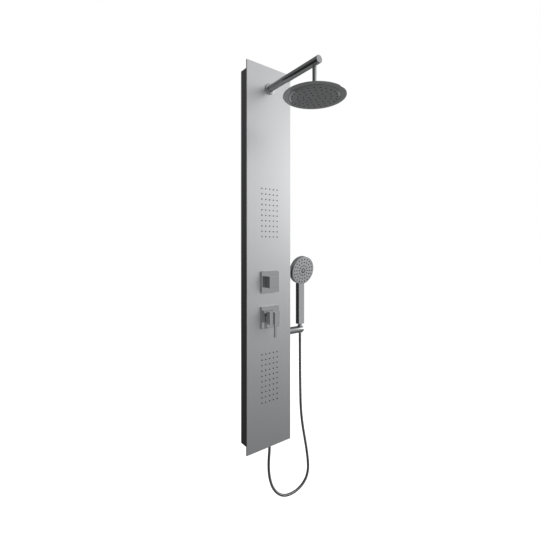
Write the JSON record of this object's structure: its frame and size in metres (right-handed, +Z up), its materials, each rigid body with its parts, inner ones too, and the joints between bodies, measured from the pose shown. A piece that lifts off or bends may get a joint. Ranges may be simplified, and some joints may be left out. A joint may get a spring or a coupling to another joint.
{
  "type": "shower panel column",
  "caption": "Wall shower column: flat steel front on a black housing, overhead and hand showers, body jets, square diverter and lever mixer.",
  "frame": {"origin": "middle of the four wall screws, on the wall plane, at the column's mid height", "axes": "+X to the right seen from the front, +Y into the wall, front towards -Y, +Z up"},
  "size_m": [0.3375, 0.399, 1.6515],
  "materials": {
    "front_sheet_steel": "fine satin, anodised silver look",
    "housing_paint": "satin black powder coat",
    "bracket_zinc": "bright zinc plate",
    "arm_chrome": "polished",
    "head_chrome": "polished",
    "valve_chrome": "polished",
    "holder_chrome": "polished",
    "hose_steel": "spiral wound, bright",
    "handset_shell": "chrome plated plastic",
    "handset_face": "satin chrome plated plastic",
    "nozzle_silicone": "soft grey, matt",
    "brass": "raw casting, machined ends",
    "moulded_plastic": "black moulding",
    "seat_plastic": "slippery white",
    "ceramic": "ground ceramic",
    "water_line_braid": "braided hose",
    "inner_steel": "turned steel"
  },
  "bodies": {
    "column": {"front_panel": "front_sheet_steel", "rear_housing": "housing_paint", "stud_nuts": "bracket_zinc", "hanging_rails": "bracket_zinc", "wall_brackets": "bracket_zinc", "arm_flange": "arm_chrome", "shower_arm": "arm_chrome", "arm_end_cap": "arm_chrome", "arm_nipple": "brass", "arm_lock_nut": "brass", "arm_elbow": "brass", "drop_pipe": "arm_chrome", "head_ball_stud": "brass", "upper_jet_manifold": "moulded_plastic", "upper_jet_mat": "nozzle_silicone", "lower_jet_manifold": "moulded_plastic", "lower_jet_mat": "nozzle_silicone", "jet_elbows": "moulded_plastic", "upper_jets_line": "water_line_braid", "lower_jets_line": "water_line_braid", "overhead_line": "water_line_braid", "hand_shower_line": "water_line_braid", "mixer_link_line": "water_line_braid", "diverter_plate": "valve_chrome", "diverter_valve_body": "brass", "diverter_lock_nut": "brass", "diverter_cartridge": "seat_plastic", "mixer_plate": "valve_chrome", "mixer_valve_body": "brass", "inlet_nuts": "brass", "mixer_cartridge": "seat_plastic", "mixer_lock_nut": "brass", "mixer_sleeve": "valve_chrome", "holder_post": "holder_chrome", "holder_bolt": "bracket_zinc", "hose_outlet": "brass", "hose_lower_nut": "holder_chrome", "shower_hose": "hose_steel"},
    "diverter": {"diverter_knob": "valve_chrome", "diverter_spindle": "inner_steel", "knob_grub_screw": "inner_steel"},
    "mixer_turn": {"mixer_carrier": "seat_plastic", "stem_pivot_pin": "inner_steel"},
    "mixer_grip": {"mixer_handle": "valve_chrome", "mixer_lever": "valve_chrome", "mixer_stem": "inner_steel", "handle_grub_screw": "inner_steel"},
    "mixer_disc": {"mixer_moving_disc": "ceramic"},
    "ball_front": {"ball_lower_seat": "seat_plastic"},
    "ball_side": {"ball_upper_seat": "seat_plastic"},
    "shower_head": {"head_swivel_nut": "head_chrome", "head_shell": "head_chrome", "head_nozzle_plate": "head_chrome", "head_nozzle_mat": "nozzle_silicone"},
    "hose_end": {"hose_upper_ferrule": "holder_chrome"},
    "handset": {"handset_cone_nut": "holder_chrome", "handset_body": "handset_shell", "handset_face_plate": "handset_face", "handset_nozzle_mat": "nozzle_silicone", "handset_centre_cap": "handset_shell"}
  },
  "joints": [
    {"name": "diverter_turn", "type": "hinge", "parent": "column", "child": "diverter", "pos_m": [0, -0.07, -0.09], "axis": [0, 1, 0], "range_deg": [-90, 90]},
    {"name": "mixer_temperature", "type": "hinge", "parent": "column", "child": "mixer_turn", "pos_m": [0, -0.06, -0.219], "axis": [0, 1, 0], "range_deg": [-45, 45]},
    {"name": "mixer_flow", "type": "hinge", "parent": "mixer_turn", "child": "mixer_grip", "pos_m": [0, -0.06, -0.219], "axis": [-1, 0, 0], "range_deg": [0, 20]},
    {"name": "mixer_disc_slide", "type": "slide", "parent": "mixer_turn", "child": "mixer_disc", "axis": [0, 0, -1], "range_m": [0, 0.006]},
    {"name": "head_tilt_front", "type": "hinge", "parent": "column", "child": "ball_front", "pos_m": [0, -0.299, 0.537], "axis": [1, 0, 0], "range_deg": [-15, 15]},
    {"name": "head_tilt_side", "type": "hinge", "parent": "ball_front", "child": "ball_side", "pos_m": [0, -0.299, 0.537], "axis": [0, 1, 0], "range_deg": [-15, 15]},
    {"name": "head_spin", "type": "hinge", "parent": "ball_side", "child": "shower_head", "pos_m": [0, -0.299, 0.537], "axis": [0, 0, 1], "continuous": true},
    {"name": "handset_lift", "type": "slide", "parent": "column", "child": "hose_end", "axis": [0, 0, 1], "range_m": [0, 0.06]},
    {"name": "handset_turn", "type": "hinge", "parent": "hose_end", "child": "handset", "pos_m": [0.181, -0.028, -0.295], "axis": [0, 0, 1], "range_deg": [-25, 25]}
  ],
  "couplings": [
    {"joint": "mixer_disc_slide", "follows": "mixer_flow", "m_per_rad": 0.01695}
  ]
}
